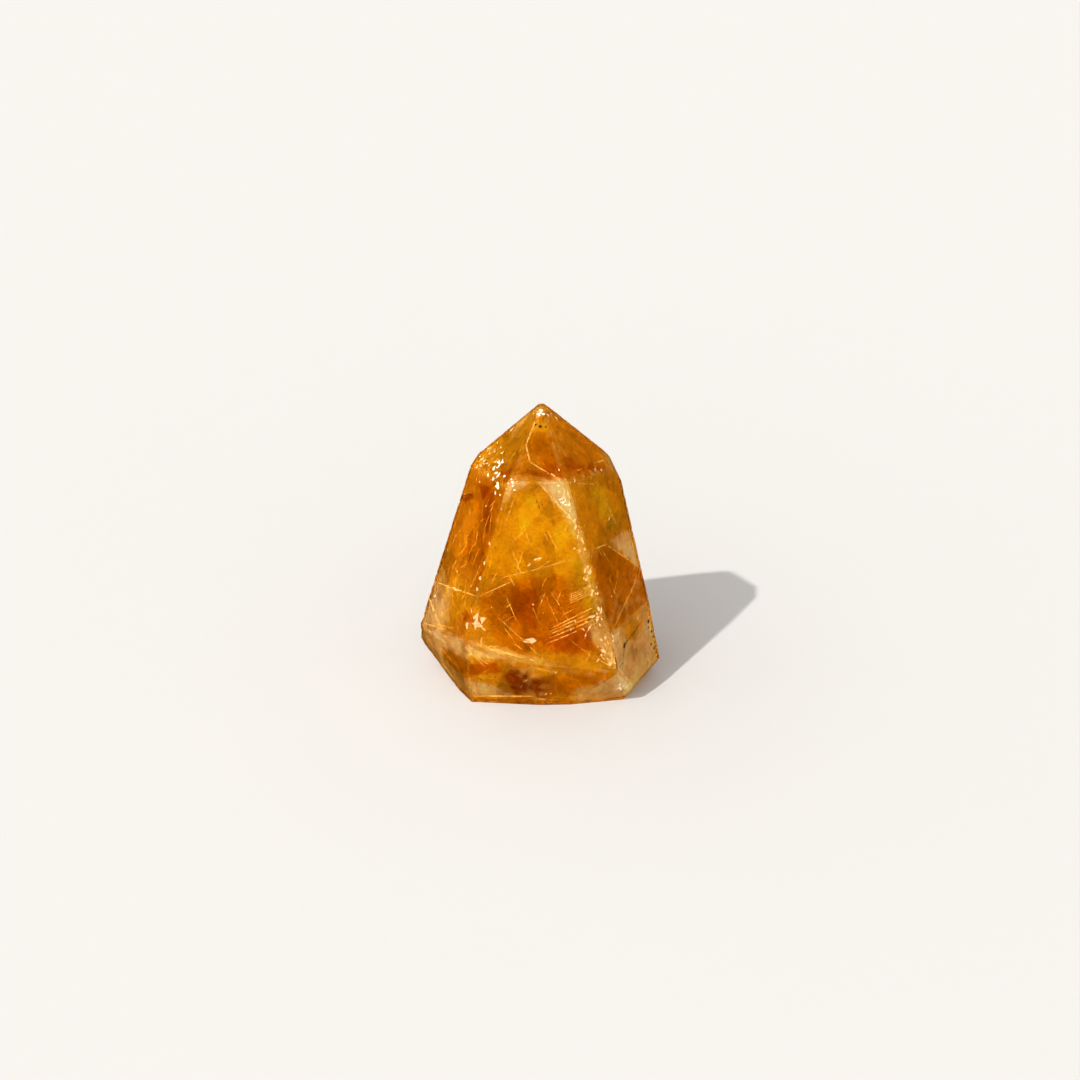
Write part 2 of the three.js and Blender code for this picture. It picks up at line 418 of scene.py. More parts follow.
def citrine_material(settings):
    """Polished citrine quartz: clear amber stone, deeper where thick, with a painted tone from yellow to
    burnt orange.

    The tone painted on the skin, partly colour zoning and partly painted light and shade, is shaded by
    patterns of several sizes, multiplied together."""
    material, tree = new_material("citrine_quartz_polished")
    place = add_node(tree, "ShaderNodeTexCoord").outputs["Object"]
    # The painted tone, with painted light and shade in it, read from the skin.
    colour = add_node(tree, "ShaderNodeAttribute", {"attribute_name": "tone"}).outputs["Color"]
    # Cloudy mottling 1.4 mm across.
    mottling = add_node(
        tree, "ShaderNodeTexNoise", Vector=place, Scale=0.7 / MM, Detail=8.0, Roughness=0.75)
    shade = add_node(
        tree, "ShaderNodeMapRange", Value=mottling.outputs["Fac"], i1=0.3, i2=0.7, i3=0.62, i4=1.32)
    factors = [shade]
    # Growth sectors and small healed cracks, 6 and 2 mm across, drawn out along a slant.
    for across, slant, least, most in ((6 * MM, 35, 0.66, 1.26), (2 * MM, -25, 0.76, 1.2)):
        leaning = add_node(
            tree, "ShaderNodeMapping", Vector=place, Rotation=(0, math.radians(slant), 0.3),
            Scale=(1.3 / across, 1 / across, 0.55 / across))
        cells = add_node(
            tree, "ShaderNodeTexVoronoi", {"feature": "F1"}, Vector=leaning.outputs[0], Scale=1.0)
        value = add_node(tree, "ShaderNodeSeparateColor", Color=cells.outputs["Color"]).outputs[0]
        factors.append(add_node(
            tree, "ShaderNodeMapRange", Value=value, i1=0.0, i2=1.0, i3=least, i4=most))
    # Hair cracks between cells 4 mm across, pale gold, bent by a slow noise and only in some places.
    cell = 4 * MM
    wander = add_node(
        tree, "ShaderNodeTexNoise", Vector=place, Scale=0.26 / MM, Detail=4.0, Roughness=0.6)
    bent = add_node(
        tree, "ShaderNodeVectorMath", {"operation": "MULTIPLY_ADD"}, i0=wander.outputs["Color"],
        i1=(cell, cell, cell), i2=place)
    gap = add_node(
        tree, "ShaderNodeTexVoronoi", {"feature": "DISTANCE_TO_EDGE"}, Vector=bent.outputs[0],
        Scale=1 / cell)
    near = add_node(
        tree, "ShaderNodeMapRange", Value=gap.outputs["Distance"], i1=0.0, i2=0.045, i3=1.0, i4=0.0)
    patch = add_node(tree, "ShaderNodeTexNoise", Vector=place, Scale=0.14 / MM, Detail=2.0)
    amount = add_node(
        tree, "ShaderNodeMapRange", Value=patch.outputs["Fac"], i1=0.45, i2=0.6, i3=0.0, i4=0.8)
    factors.append(add_node(
        tree, "ShaderNodeMath", {"operation": "MULTIPLY_ADD"}, i0=near.outputs[0], i1=amount.outputs[0],
        i2=1.0))
    # Grain 0.4 mm across.
    grain = add_node(
        tree, "ShaderNodeTexNoise", Vector=place, Scale=2.5 / MM, Detail=3.0, Roughness=0.6)
    factors.append(add_node(
        tree, "ShaderNodeMapRange", Value=grain.outputs["Fac"], i1=0.35, i2=0.65, i3=0.74, i4=1.26))
    # Dark specks 1.8 mm apart and 0.3 mm across, with a soft rim that ends 0.6 mm across.
    dots = add_node(
        tree, "ShaderNodeTexVoronoi", {"feature": "F1"}, Vector=place, Scale=1 / (1.8 * MM))
    factors.append(add_node(
        tree, "ShaderNodeMapRange", Value=dots.outputs["Distance"], i1=0.09, i2=0.16, i3=0.5, i4=1.0))
    total = factors[0].outputs[0]
    for factor in factors[1:]:
        total = add_node(
            tree, "ShaderNodeMath", {"operation": "MULTIPLY"}, i0=total, i1=factor.outputs[0]).outputs[0]
    tint = add_node(tree, "ShaderNodeVectorMath", {"operation": "SCALE"}, i0=colour, Scale=total)
    surface = add_node(
        tree, "ShaderNodeBsdfPrincipled", Base_Color=tint.outputs[0], Roughness=0.05, IOR=1.544,
        Transmission_Weight=1.0, Specular_IOR_Level=0.3)
    volume = add_node(
        tree, "ShaderNodeVolumeAbsorption", Color=(0.985, 0.84, 0.5, 1), Density=settings.density)
    add_node(tree, "ShaderNodeOutputMaterial", Surface=surface.outputs[0], Volume=volume.outputs[0])
    return material


def rubble(tree, colour, through, cover=None):
    """Fine rubble that sends on the share through of its light. cover thins it out to nothing."""
    front = add_node(tree, "ShaderNodeBsdfDiffuse", Color=linear(colour))
    back = add_node(tree, "ShaderNodeBsdfTranslucent", Color=linear(colour))
    whole = add_node(
        tree, "ShaderNodeMixShader", i0=through, i1=front.outputs[0], i2=back.outputs[0]).outputs[0]
    if cover is None:
        return whole
    clear = add_node(tree, "ShaderNodeBsdfTransparent")
    return add_node(
        tree, "ShaderNodeMixShader", i0=cover.outputs[0], i1=clear.outputs[0], i2=whole).outputs[0]


def haze_material():
    """Haze of bubbles too small to see: scatters light evenly and has no grain of its own."""
    material, tree = new_material("quartz_fine_haze")
    fade = add_node(tree, "ShaderNodeAttribute", {"attribute_name": "fade"})
    cover = add_node(
        tree, "ShaderNodeMapRange", {"interpolation_type": "SMOOTHSTEP"},
        Value=fade.outputs["Fac"], i1=0.0, i2=1.0, i3=0.0, i4=0.42)
    add_node(tree, "ShaderNodeOutputMaterial", Surface=rubble(tree, "#ffffff", 0.5, cover))
    return material


def patchy_material(
        name, colour, to_the_mm, low, high, most, least=0.0, through=0.3, detail=5.0, rough=0.65):
    """A cover of fine rubble broken up by noise with so many patches to the mm, from least to most thick."""
    material, tree = new_material(name)
    place = add_node(tree, "ShaderNodeTexCoord").outputs["Object"]
    grain = add_node(
        tree, "ShaderNodeTexNoise", Vector=place, Scale=to_the_mm / MM, Detail=detail, Roughness=rough)
    cover = add_node(
        tree, "ShaderNodeMapRange", {"interpolation_type": "SMOOTHSTEP"},
        Value=grain.outputs["Fac"], i1=low, i2=high, i3=least, i4=most)
    add_node(tree, "ShaderNodeOutputMaterial", Surface=rubble(tree, colour, through, cover))
    return material


def plain_mark_material(name, colour):
    """A tiny mark too small to show a pattern of its own, matt and opaque."""
    material, tree = new_material(name)
    surface = add_node(
        tree, "ShaderNodeBsdfPrincipled", Base_Color=linear(colour), Roughness=0.6, Specular_IOR_Level=0.3)
    add_node(tree, "ShaderNodeOutputMaterial", Surface=surface.outputs[0])
    return material


def paper_material():
    """Matt off-white card: an even pale ground with no pattern."""
    material, tree = new_material("card_matt_off_white")
    surface = add_node(tree, "ShaderNodeBsdfDiffuse", Color=(0.539, 0.53, 0.518, 1))
    add_node(tree, "ShaderNodeOutputMaterial", Surface=surface.outputs[0])
    return material


# ---------------------------------------------------------------- the stone

def bevelled_solid(radius):
    """The stone with its edges rounded, once corners nearer than 0.4 mm are merged into one."""
    work = merged_copy_of_cad()
    bmesh.ops.remove_doubles(work, verts=work.verts, dist=0.4 * MM)
    sharp = [edge for edge in work.edges if edge.is_manifold and edge.calc_face_angle() > math.radians(2)]
    bmesh.ops.bevel(
        work, geom=sharp, offset=radius, offset_type="OFFSET", segments=1, profile=0.5,
        affect="EDGES", clamp_overlap=True)
    bmesh.ops.recalc_face_normals(work, faces=work.faces)
    return work


def finely_divided(coarse, step):
    """The same closed solid with every face filled by small triangles about step wide."""
    fine = bmesh.new()
    corner = {vertex: fine.verts.new(vertex.co) for vertex in coarse.verts}
    along = {}
    for edge in coarse.edges:
        start, end = edge.verts
        pieces = max(1, round(edge.calc_length() / step))
        inner = [fine.verts.new(start.co.lerp(end.co, index / pieces)) for index in range(1, pieces)]
        along[edge] = (start, [corner[start], *inner, corner[end]])
    rng = random.Random(3)
    for face in coarse.faces:
        loop_verts = []
        for loop in face.loops:
            first, row = along[loop.edge]
            row = row if first == loop.vert else row[::-1]
            loop_verts += row[:-1]
        turn = face.normal.to_track_quat("Z", "Y").to_matrix()
        back = turn.transposed()
        outline = [(back @ vertex.co).to_2d() for vertex in loop_verts]
        level = sum((back @ vertex.co).z for vertex in loop_verts) / len(loop_verts)
        points = list(outline)
        low, high = box_of(outline)
        corners = [(back @ vertex.co).to_2d() for vertex in face.verts]
        for row in range(int((high.y - low.y) / step) + 1):
            for column in range(int((high.x - low.x) / step) + 1):
                place = Vector((low.x + (column + rng.uniform(0.25, 0.75)) * step,
                                low.y + (row + rng.uniform(0.25, 0.75)) * step))
                if inside_outline(place, corners) and distance_to_outline(place, corners) > 0.45 * step:
                    points.append(place)
        count = len(outline)
        rim = [(index, (index + 1) % count) for index in range(count)]
        flat, _, faces, origins, _, _ = delaunay_2d_cdt(points, rim, [tuple(range(count))], 1, 1e-9)
        made = []
        for spot, sources in zip(flat, origins):
            source = sources[0] if sources else -1
            if 0 <= source < count:
                made.append(loop_verts[source])
            else:
                made.append(fine.verts.new(turn @ Vector((spot.x, spot.y, level))))
        for corners in faces:
            ring = [made[index] for index in corners]
            if len(set(ring)) == len(ring):
                fine.faces.new(ring)
    bmesh.ops.recalc_face_normals(fine, faces=fine.faces)
    coarse.free()
    return fine


# Broken corners: (the three facets that meet there, radius mm, depth mm).
BREAKS = (
    (("tip", "crown_front", "crown_left"), 2, 0.5),
    (("crown_left", "crown_front", "front"), 2, 0.3),
    (("crown_front", "front", "strip"), 3, 0.3),
    (("front", "right", "right_lower"), 2, 0.2),
    (("front", "left", "foot_front_left"), 2, 0.2),
    (("front", "foot_corner", "right_lower"), 3, 0.3),
    (("foot_left", "left", "back_left"), 3, 0.3),
    (("back", "crown_back", "crown_back_left"), 3, 0.4),
    (("back", "back_right", "crown_back_right"), 3, 0.3),
)


def break_spots():
    return [(meeting(*names), radius * MM, depth * MM) for names, radius, depth in BREAKS]


def refine_near(work, spots):
    """Halves the triangles near each broken corner, so that its breaks come out sharp."""
    for middle, radius, _ in spots:
        edges = {edge for face in work.faces for edge in face.edges
                 if (face.calc_center_median() - middle).length < radius}
        bmesh.ops.subdivide_edges(work, edges=list(edges), cuts=1, use_grid_fill=True)
        bmesh.ops.triangulate(work, faces=[face for face in work.faces if len(face.verts) > 3])


def gaps_to_facets(places):
    """How far each place lies inside each facet plane, as a table of places by facets."""
    normals = np.array([facet.normal for facet in FACETS])
    levels = np.array([facet.centre.dot(facet.normal) for facet in FACETS])
    return levels[None, :] - places @ normals.T


def edge_nearness(places, reach):
    """For each point of the skin, 1 on an edge between facets falling to 0 at reach mm inside it."""
    gaps = np.sort(gaps_to_facets(places), axis=1)
    return np.clip(1 - np.abs(gaps[:, 1]) / (reach * MM), 0, 1)


# Wear, in mm: how far in from the edges it goes, how deep a nibble is, and the strip above the base that it
# leaves flat.
WEAR_REACH = 0.5
NIBBLE_DEPTH = 0.3
GROUND_STRIP = 0.3
# The patterns of wear, in steps of noise for each metre: nibbles about 1 and 0.4 mm across, shells 0.7 mm
# across and hollows 2 mm across.
NIBBLES, FINE_NIBBLES, SHELLS, HOLLOWS = 900, 2600, 1500, 500


def wear_down(work, spots):
    """Nibbles the edges and knocks shell-shaped flakes out of the broken corners."""
    near = edge_nearness(np.array([vertex.co for vertex in work.verts]), WEAR_REACH)
    work.normal_update()
    moves = []
    for vertex, closeness in zip(work.verts, near):
        nibble = noise.noise(vertex.co * NIBBLES) * 0.6 + noise.noise(vertex.co * FINE_NIBBLES) * 0.4
        sink = closeness * max(0.0, nibble - 0.05) * NIBBLE_DEPTH * MM
        for middle, radius, depth in spots:
            gap = (vertex.co - middle).length / radius
            if gap < 1:
                shell = noise.voronoi(vertex.co * SHELLS)[0][0]
                hollow = noise.noise(vertex.co * HOLLOWS)
                bite = max(0.0, 0.35 + hollow - 0.5 * shell)
                sink += depth * (1 - gap * gap) * bite * (0.35 + closeness)
        moves.append(-vertex.normal * sink)
    for vertex, move in zip(work.verts, moves):
        if vertex.co.z > GROUND_STRIP * MM:
            vertex.co += move


def outline_share(across, up, outline, soft):
    """How far inside an outline each point lies: 0 outside, 1 from soft mm inside on."""
    best = np.full(across.shape, 1e9)
    inside = np.zeros(across.shape, bool)
    for (x0, y0), (x1, y1) in zip(outline, outline[1:] + outline[:1]):
        run_x, run_y = x1 - x0, y1 - y0
        share = np.clip(((across - x0) * run_x + (up - y0) * run_y) / (run_x ** 2 + run_y ** 2), 0, 1)
        best = np.minimum(best, np.hypot(across - x0 - share * run_x, up - y0 - share * run_y))
        if y0 != y1:
            crossing = x0 + (up - y0) / (y1 - y0) * run_x
            inside ^= ((y0 > up) != (y1 > up)) & (across < crossing)
    signed = np.where(inside, best, -best)
    share = np.clip(0.5 + signed / soft, 0, 1)
    return share * share * (3 - 2 * share)


def random_areas():
    """A few seeded areas on the facets that have none of their own, in the same tones."""
    rng = random.Random(12)
    areas = []
    for name in ("back", "back_left", "back_right", "crown_back", "crown_back_left", "crown_back_right"):
        for _ in range(9):
            across, up = rng.uniform(0, 1), rng.uniform(0, 1)
            wide, high = rng.uniform(0.15, 0.4), rng.uniform(0.08, 0.25)
            outline = [(across - wide, up), (across, up + high), (across + wide, up), (across, up - high)]
            tone = rng.choice(("honey", "burnt", "rust", "glow", "milk", "moss", "amber"))
            areas.append((name, tone, rng.choice((0.5, 1, 2)), outline))
    return areas


def vertex_table(mesh, field):
    """What each vertex has in a field of three numbers, as a table with a row for each."""
    values = np.empty(len(mesh.vertices) * 3)
    mesh.vertices.foreach_get(field, values)
    return values.reshape(-1, 3)


# How the rims of the areas wander: (steps of noise for each metre, how far in mm).
DRIFTS = ((300, 0.6), (1100, 0.35))
BRUISE_REACH = 0.45    # how far in from the edges the stone is bruised pale, in mm
BRUISES = 800          # steps of noise for each metre, which makes bruises about 1.3 mm across


def paint_tones_and_light(mesh):
    """Gives every point of the skin its tone, partly colour zoning and partly painted light and shade: the
    facet's own, then each area's over it, paler where worn.
    """
    places = vertex_table(mesh, "co")
    normals = np.array([facet.normal for facet in FACETS])
    # On an edge, the facet that the skin faces like is the nearest.
    agreement = vertex_table(mesh, "normal") @ normals.T
    nearest = np.argmin(gaps_to_facets(places) - 0.02 * MM * agreement, axis=1)
    by_facet = {id(NAMED[name]): tone for name, tone in FACET_TONES_AND_SHADE.items()}
    base = [TONE_LIGHT[by_facet.get(id(facet), REST_TONE)] for facet in FACETS]
    colours = np.array(base)[nearest]
    # Where noise_vector starts is drawn from the clock unless a seed is set.
    noise.seed_set(4)
    moved = places / MM
    for steps, reach in DRIFTS:
        moved += np.array([noise.noise_vector(Vector(place) * steps) for place in places]) * reach
    for name, tone, soft, outline in (*TONE_AND_LIGHT_AREAS, *random_areas()):
        facet = NAMED[name]
        chosen = nearest == FACETS.index(facet)
        local = moved[chosen] - np.array(facet.centre) / MM
        corners = [tuple(facet.spot(*point) / MM) for point in outline]
        share = outline_share(local @ np.array(facet.side), local @ np.array(facet.rise), corners, soft)
        colours[chosen] += (TONE_LIGHT[tone] - colours[chosen]) * share[:, None]
    patchy = np.array([noise.noise(Vector(place) * BRUISES) for place in places])
    share = edge_nearness(places, BRUISE_REACH) * np.clip(patchy * 2.2, 0, 1) * 0.8
    colours += (TONE_LIGHT["sand"] - colours) * share[:, None]
    tones = np.ones((len(places), 4))
    tones[:, :3] = colours / np.array(LIGHT_BACK)
    mesh.attributes.new("tone", "FLOAT_COLOR", "POINT").data.foreach_set("color", tones.ravel())
    add_spark_layer(mesh, places)


def add_spark_layer(mesh, places):
    """Where bright flakes gather: on worn edges, and thickly on the shoulder of the left crown facet. The
    flakes are crumbs of broken quartz whose pale colour is also painted sparkle.
    """
    sparks = edge_nearness(places, 0.6) ** 2 * 0.08 + 0.006
    for middle, radius, amount in (
            (on_facet("crown_left", 0.4, 0.2), 5, 0.9), (on_facet("crown_left", 0.2, 0.3), 3, 0.9),
            (on_facet("crown_left", 0.9, 0.1), 3, 0.4), (meeting("crown_front", "front", "strip"), 4, 0.6),
            (meeting("tip", "crown_front", "crown_left"), 3, 1.0),
            (on_facet("foot_corner", 0.7, 0.5), 2, 0.5),
            (on_facet("crown_back", 0.6, 0.2), 5, 0.6), (on_facet("back", 0.3, 0.2), 5, 0.3)):
        gap = np.linalg.norm(places - np.array(middle), axis=1) / (radius * MM)
        sparks += np.clip(1 - gap, 0, 1) * amount
    # None this near the outermost points, where a flake would stand out of the stone's box.
    low, high = (np.array(corner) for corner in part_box(NODE))
    clear = np.minimum(places - low, high - places).min(axis=1)
    sparks[clear < 0.6 * MM] = 0
    mesh.attributes.new("spark", "FLOAT", "POINT").data.foreach_set("value", np.clip(sparks, 0, 1))


GRID = 0.35    # size of the skin's triangles, in mm


def worn_crystal(radius):
    work = finely_divided(bevelled_solid(radius), GRID * MM)
    spots = break_spots()
    refine_near(work, spots)
    wear_down(work, spots)
    SKIN["tree"] = BVHTree.FromBMesh(work)
    mesh = mesh_from(work, "citrine_stone")
    paint_tones_and_light(mesh)
    return mesh


class CITRINE_OT_stone(bpy.types.Operator):
    """Make the faceted stone itself"""
    bl_idname = "citrine.stone"
    bl_label = "Stone"

    def execute(self, context):
        settings = context.scene.citrine_crystal
        stone = link_piece("citrine_stone", worn_crystal(settings.edge_radius), citrine_material(settings))
        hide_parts(NODE)
        return {"FINISHED"}


# ---------------------------------------------------------------- what is sealed in the stone

# How many of each there are.
CRACKS = 70
HAZE_SCRAPS = 90
LARGE_FACETS = 12    # the cracks lie along one of this many of the largest facets


def random_inside(rng, clear):
    """A random point at least clear mm inside the stone."""
    low, high = (Vector(corner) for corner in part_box(NODE))
    while True:
        place = Vector([rng.uniform(low[axis], high[axis]) for axis in range(3)])
        if inward(place) > clear * MM:
            return place


def add_crack(work, centre, normal, size, rng):
    """A flat crack with straight broken edges, as wide as size."""
    turn = normal.to_track_quat("Z", "Y").to_matrix() @ Matrix.Rotation(rng.uniform(0, math.tau), 3, "Z")
    corners = [turn @ corner.to_3d() * size for corner in broken_outline(rng, 0.28, 0.35, 0.65)]
    work.faces.new([work.verts.new(centre + corner) for corner in corners])


def crack_material():
    """Inner cracks: thin air gaps that scatter light to both sides."""
    material, tree = new_material("quartz_inner_crack")
    add_node(tree, "ShaderNodeOutputMaterial", Surface=rubble(tree, "#ffffff", 0.5))
    return material


class CITRINE_OT_cracks(bpy.types.Operator):
    """Make the flat cracks sealed in the stone"""
    bl_idname = "citrine.cracks"
    bl_label = "Inner cracks"

    def execute(self, context):
        rng = random.Random(7)
        work = bmesh.new()
        for _ in range(CRACKS):
            centre = random_inside(rng, 3.5)
            facet_normal = rng.choice(FACETS[:LARGE_FACETS]).normal
            tilt = Vector([rng.gauss(0, 0.25) for _ in range(3)])
            add_crack(work, centre, (facet_normal + tilt).normalized(), rng.uniform(7, 17) * MM, rng)
        cut_to_stone(work, 2.5)
        link_piece("inner_cracks", work, crack_material())
        return {"FINISHED"}


def add_cloudy_layer(work, face, depth, seed):
    """A gently waving sheet that lies depth mm under one whole facet."""
    turn = face.normal.to_track_quat("Z", "Y").to_matrix()
    back = turn.transposed()
    outline = [(back @ vertex.co).to_2d() for vertex in face.verts]
    level = (back @ face.verts[0].co).z
    low, high = box_of(outline)
    step = 1.1 * MM
    points = [Vector((low.x + column * step, low.y + row * step))
              for row in range(int((high.y - low.y) / step) + 2)
              for column in range(int((high.x - low.x) / step) + 2)]
    first, count = len(points), len(outline)
    points += outline
    rim = [(first + index, first + (index + 1) % count) for index in range(count)]
    flat, _, faces, _, _, _ = delaunay_2d_cdt(points, rim, [], 1, 1e-7)
    made = []
    for spot in flat:
        wave = 0.45 * MM * noise.noise(Vector((spot.x * 250, spot.y * 250, seed * 3.3)))
        made.append(work.verts.new(turn @ Vector((spot.x, spot.y, level - depth * MM + wave))))
    for corners in faces:
        work.faces.new([made[index] for index in corners])


class CITRINE_OT_layers(bpy.types.Operator):
    """Make the cloudy growth layer under each facet"""
    bl_idname = "citrine.layers"
    bl_label = "Cloudy layers"

    def execute(self, context):
        solid = merged_copy_of_cad()
        work = bmesh.new()
        for seed, face in enumerate(solid.faces):
            if face.calc_area() > 6 * MM * MM and face.normal.z > -0.95:
                add_cloudy_layer(work, face, 1.3, seed)
        solid.free()
        cut_to_stone(work, 0.6)
        # A growth layer is pale and smooth, with patches 6 mm across that are thin enough to see past.
        material = patchy_material(
            "quartz_cloudy_layer", "#ffffff", 0.17, 0.35, 0.6, 0.85, least=0.35, through=0.4, detail=3.0,
            rough=0.55)
        link_piece("cloudy_layers", work, material)
        return {"FINISHED"}


def add_haze_scrap(work, centre, turn, size, rng):
    """A soft-edged scrap of haze: one middle point and a ragged ring of eight."""
    fade = work.verts.layers.float.get("fade") or work.verts.layers.float.new("fade")
    middle = work.verts.new(centre)
    middle[fade] = 1
    ring = []
    for spoke in range(8):
        angle = math.tau * spoke / 8
        reach = size * rng.uniform(0.35, 0.6)
        bend = rng.uniform(-0.1, 0.1) * size
        place = centre + turn @ Vector((math.cos(angle) * reach, math.sin(angle) * reach, bend))
        while inward(place) < 0.4 * MM:
            place = centre.lerp(place, 0.7)
        ring.append(work.verts.new(place))
    for start, end in zip(ring, ring[1:] + ring[:1]):
        work.faces.new((middle, start, end))


class CITRINE_OT_haze(bpy.types.Operator):
    """Make the fine haze that makes the stone glow"""
    bl_idname = "citrine.haze"
    bl_label = "Haze"

    def execute(self, context):
        rng = random.Random(21)
        work = bmesh.new()
        for _ in range(HAZE_SCRAPS):
            centre = random_inside(rng, 2.2)
            spin = Vector([rng.gauss(0, 1) for _ in range(3)]).normalized()
            turn = spin.to_track_quat("Z", "Y").to_matrix()
            add_haze_scrap(work, centre, turn, rng.uniform(7, 13) * MM, rng)
        link_piece("fine_haze", work, haze_material())
        return {"FINISHED"}


# ---------------------------------------------------------------- marks on and just under the polish

# Single lines: (facet, path in shares of the facet, width mm).
PALE_LINES = (
    ("crown_front", [(0.15, 0.9), (0.05, 0.55), (0.3, 0.3), (0.55, 0.02)], 0.2),
    ("crown_right", [(0.1, 0.9), (0.2, 0.6), (0.3, 0.45)], 0.1),
    ("right", [(0.45, 0.95), (0.6, 0.85)], 0.12),
    ("right", [(0.6, 0.75), (0.7, 0.55), (0.75, 0.5)], 0.12),
    ("right", [(0, 0.55), (0.4, 0.5), (1, 0.2)], 0.15),
    ("front", [(0.55, 0.98), (0.8, 0.87), (1, 0.75)], 0.2),
    ("crown_right", [(0, 0.1), (0.5, 0.2), (1, 0.1)], 0.15),
    ("left", [(0, 0.24), (0.5, 0.33), (1, 0.42)], 0.2),
    ("front", [(0, 0.42), (0.3, 0.5)], 0.15),
    ("front", [(0.15, 0.35), (0.3, 0.1)], 0.1),
    ("front", [(0.6, 0.45), (0.75, 0.25)], 0.1),
    ("front", [(0.05, 0.5), (0.5, 0.55), (0.9, 0.6)], 0.1),
    ("right", [(0, 0), (0.5, 0.1), (1, 0.2)], 0.2),
    ("foot_front_left", [(0, 0.1), (1, 0.15)], 0.3),
    ("foot_front", [(0, 0.15), (0.2, 0.15)], 0.3),
    ("left", [(0, 0.15), (0.4, 0.12), (0.9, 0.1)], 0.3),
    ("left", [(0, 0.25), (0.3, 0.15), (0.5, 0.1)], 0.2),
    ("foot_left", [(0, 0.55), (0.3, 0.6), (0.6, 0.7)], 0.2),
    ("foot_left", [(0.3, 0.5), (0.5, 0.45), (0.8, 0.4)], 0.15),
)
DARK_LINES = (
    ("right_lower", [(0.75, 0.8), (0.5, 0.75), (0.25, 0.7), (0.15, 0.5), (0.1, 0.4)], 0.2),
    ("right_lower", [(0.15, 0.5), (0.05, 0.45)], 0.15),
    ("front", [(1, 0.1), (0.98, 0.03), (0.9, 0.02), (0.8, 0.02), (0.7, 0.04)], 0.15),
    ("front", [(0.5, 0.9), (0.55, 0.85)], 0.15),
    ("left", [(0, 0.71), (0.25, 0.78)], 0.15),
)
# Fans of lines: (facet, where the first line starts and ends, where the last one does, width mm, how many,
# first seed).
FANS = (
    ("front", (0.5, 0.17), (0.98, 0.28), (0.6, 0.25), (0.98, 0.36), 0.15, 5, 20),
    ("front", (0.75, 0.37), (0.96, 0.42), (0.75, 0.41), (0.96, 0.46), 0.1, 5, 120),
    ("front", (0.82, 0.08), (0.97, 0.02), (0.96, 0.22), (0.99, 0.02), 0.18, 6, 40),
    ("front", (0.01, 0.17), (0.22, 0.08), (0.01, 0.17), (0.12, 0.23), 0.18, 6, 140),
    ("foot_front_left", (0.02, 0.9), (0.3, 0.6), (0.02, 0.9), (0.7, 0.75), 0.2, 6, 160),
)
FINE_LINES = 230
EDGE_CHIPS = 6
GRAINS = 7
RUBBED_SCRAPS = 70
# Single larger flakes: (facet, across, up, size mm, stretch, lean in degrees).
FLAKES = (
    ("front", 0.04, 0.3, 2.8, 1.8, 15),
    ("front", 0.04, 0.3, 2.8, 1.8, -45),
    ("front", 0.05, 0.3, 2.4, 2, 80),
    ("left", 0.5, 0.33, 1.5, 2, 20),
    ("foot_front_left", 0.15, 0.97, 1.5, 1.5, 70),
    ("front", 0.43, 0.19, 1.7, 1.5, 0),
    ("front", 0.9, 0.3, 1, 1.5, 15),
    ("front", 0.5, 0.6, 1, 2, 10),
)


def add_pale_lines(work):
    for seed, (name, path, width) in enumerate(PALE_LINES):
        add_line(work, name, path, width, seed=seed)
    for name, first_start, first_end, last_start, last_end, width, count, first_seed in FANS:
        for index in range(count):
            share = index / (count - 1)
            path = [tuple(a + (b - a) * share for a, b in zip(first_start, last_start)),
                    tuple(a + (b - a) * share for a, b in zip(first_end, last_end))]
            add_line(work, name, path, width, seed=first_seed + index)


def add_fine_lines(work):
    """Hair-fine golden scratches and crack ends, in two slanting families, on every large facet."""
    rng = random.Random(15)
    names = [name for name in NAMED if NAMED[name].area > 30 * MM * MM]
    weights = [NAMED[name].area for name in names]
    for index in range(FINE_LINES):
        name = rng.choices(names, weights)[0]
        lean = math.radians(rng.choice((25, 60, -50)) + rng.gauss(0, 8))
        reach = rng.uniform(0.02, 0.09)
        across, up = rng.uniform(0.1, 0.9), rng.uniform(0.08, 0.92)
        step_across, step_up = reach * math.cos(lean), reach * math.sin(lean)
        add_line(work, name, [(across - step_across, up - step_up), (across + step_across, up + step_up)],
                 rng.uniform(0.09, 0.16), ragged=0.5, seed=200 + index, step=0.5)


def add_flakes(work):
    for seed, flake in enumerate(FLAKES):
        add_chip(work, *flake, seed=seed)
    rng = random.Random(8)
    for index in range(EDGE_CHIPS):
        up = 0.25 + 0.5 * (index + rng.uniform(0, 0.6)) / EDGE_CHIPS
        add_chip(work, "left", 0.97, up, rng.uniform(0.6, 1.2), rng.uniform(0.7, 1.6), rng.uniform(-60, 60),
                 seed=60 + index)


# Knots of broken quartz, their flash of light painted as white matt marks: (facet, across, up, spread mm, how
# many, largest mm).
PAINTED_GLINTS = (
    ("crown_left", 0.6, 0.3, 2.2, 12, 0.9),
    ("left", 0.6, 0.93, 2.5, 12, 1),
    ("tip", 0.4, 0.2, 0.8, 6, 0.9),
    ("crown_front", 0.5, 0.97, 0.8, 7, 0.7),
    ("front", 0.9, 0.88, 1.2, 12, 0.5),
    ("front", 0.1, 0.97, 1.2, 8, 0.4),
    ("foot_corner", 0.8, 0.5, 1, 7, 0.5),
    ("right_lower", 0.1, 0.9, 1, 4, 0.4),
)


# Painted glints: white matt scraps standing in for light flashing off broken quartz.
def add_painted_glints(work):
    rng = random.Random(31)
    for index, (name, across, up, spread, count, largest) in enumerate(PAINTED_GLINTS):
        for step in range(count):
            shift = Vector((rng.gauss(0, 0.5), rng.gauss(0, 0.5))) * spread * MM
            add_chip(work, name, across, up, largest * rng.uniform(0.3, 1), rng.uniform(0.8, 2),
                     rng.uniform(0, 180), seed=400 + 20 * index + step, shift=shift)


